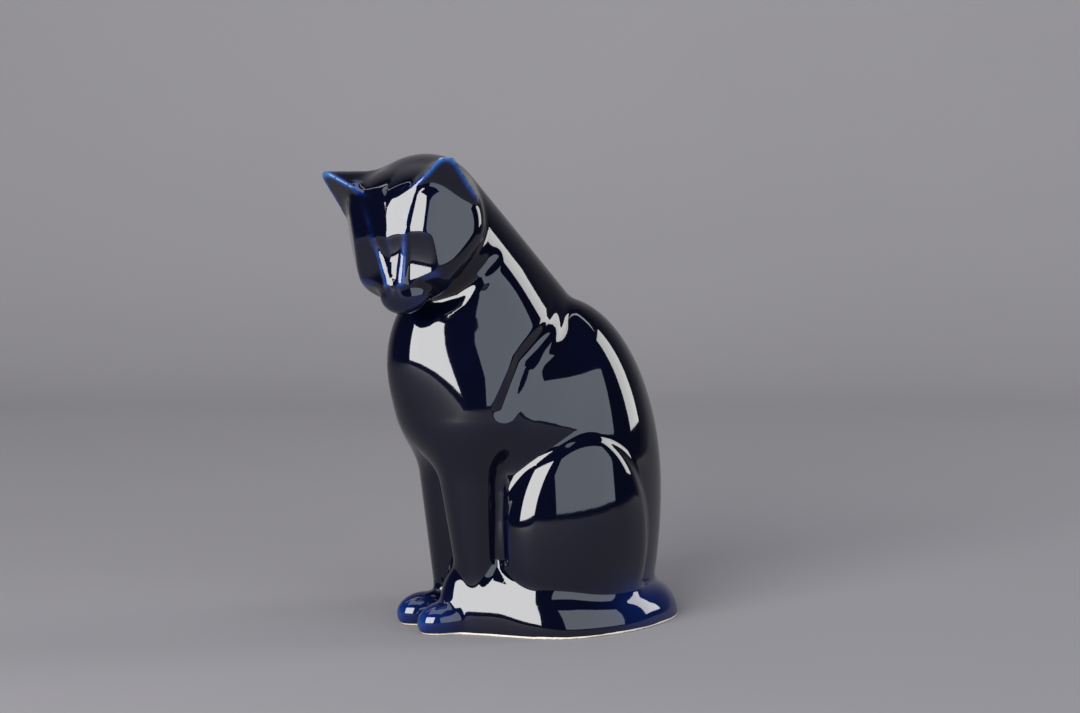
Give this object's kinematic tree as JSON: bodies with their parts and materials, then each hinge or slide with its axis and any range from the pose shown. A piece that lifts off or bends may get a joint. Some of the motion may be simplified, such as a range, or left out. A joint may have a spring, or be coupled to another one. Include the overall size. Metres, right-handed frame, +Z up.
{
  "type": "funeral urn",
  "caption": "Glazed ceramic ashes urn shaped as a seated cat looking down to its left, tail wrapped round to the front paws, hollow inside and filled through a plugged hole in the base.",
  "frame": {"origin": "middle of the footprint's bounding box, on the surface that the urn stands on", "axes": "+Z up; the body and front paws face -Y and the cat's left side, with the tail, is +X"},
  "size_m": [0.1202, 0.1966, 0.2567],
  "materials": {
    "glaze": "high gloss cobalt blue glaze, paler where it thins on edges; bare cream clay at the foot and underneath",
    "bung": "matt black rubber"
  },
  "bodies": {
    "root": {"cat_urn_body": "glaze", "base_bung": "bung"}
  },
  "joints": []
}
